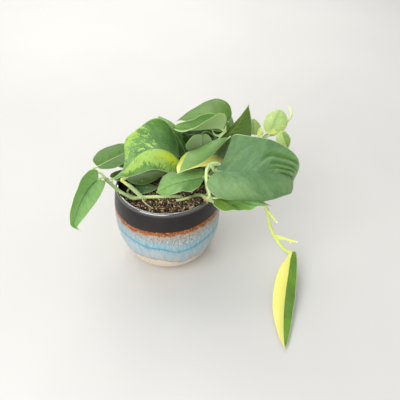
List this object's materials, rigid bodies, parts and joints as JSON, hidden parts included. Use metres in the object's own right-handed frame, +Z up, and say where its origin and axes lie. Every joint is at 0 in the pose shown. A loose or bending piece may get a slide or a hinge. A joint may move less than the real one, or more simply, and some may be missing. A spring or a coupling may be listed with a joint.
{
  "type": "potted jade satin scindapsus",
  "caption": "Round-bellied glazed bowl pot filled with soil, holding a trailing plant with broad pointed leaves.",
  "frame": {"origin": "centre of the pot's flat foot, on the surface it stands on", "axes": "+Z up, -Y towards the viewer of the picture, +X to the viewer's right, the side where the long vine trails"},
  "size_m": [0.2826, 0.2993, 0.1879],
  "materials": {
    "glaze": "satin",
    "soil": "matte",
    "stem": "satin",
    "leaf": "satin",
    "young_leaf": "satin"
  },
  "bodies": {
    "root": {"pot": "glaze", "soil": "soil", "vine_left": "stem", "vine_right": "stem", "vine_back": "stem", "shoot_middle": "stem", "shoot_right": "stem", "leaf_left_low": "leaf", "leaf_left_high": "leaf", "leaf_variegated": "leaf", "leaf_behind": "leaf", "leaf_yellow_tip": "leaf", "leaf_top_back": "leaf", "leaf_folded": "leaf", "leaf_pointed": "leaf", "leaf_satin": "leaf", "leaf_under_satin": "leaf", "leaf_front": "leaf", "leaf_shaded": "leaf", "leaf_inner_low": "leaf", "leaf_inner_left": "leaf", "leaf_inner_right": "leaf", "leaf_inner_back": "leaf", "leaf_trailing": "leaf", "leaf_back": "leaf", "leaf_back_left": "leaf", "leaf_back_right": "leaf", "leaf_young_oval": "young_leaf", "leaf_young_low": "young_leaf", "leaf_young_left": "young_leaf", "leaf_young_mid": "young_leaf"}
  },
  "joints": []
}
